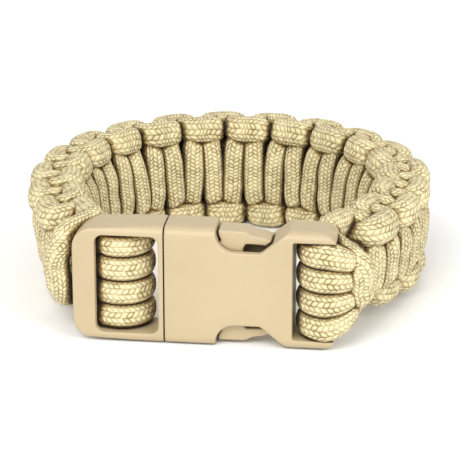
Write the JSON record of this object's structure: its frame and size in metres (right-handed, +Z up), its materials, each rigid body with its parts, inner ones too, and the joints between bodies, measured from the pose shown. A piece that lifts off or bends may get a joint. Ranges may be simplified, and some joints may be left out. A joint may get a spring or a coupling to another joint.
{
  "type": "paracord bracelet",
  "caption": "Closed wrist bracelet of cobra-knotted paracord over straight core strands, fastened by a side-release plastic buckle and lying on its edge.",
  "frame": {"origin": "middle of the bounding box at the edge that the bracelet lies on", "axes": "+Z up along the loop's axis; the buckle faces -Y with its plug toward -X and its socket toward +X"},
  "size_m": [0.0667, 0.0677, 0.0199],
  "materials": {
    "plastic": "moulded pale sand acetal, satin",
    "working_cord": "braided nylon sheath, khaki",
    "core_cord": "braided nylon sheath, khaki"
  },
  "bodies": {
    "root": {"socket": "plastic", "plug": "plastic", "outer_cord": "working_cord", "inner_cord": "working_cord", "core_strand_1": "core_cord", "core_strand_2": "core_cord", "core_strand_3": "core_cord", "core_strand_4": "core_cord"}
  },
  "joints": []
}
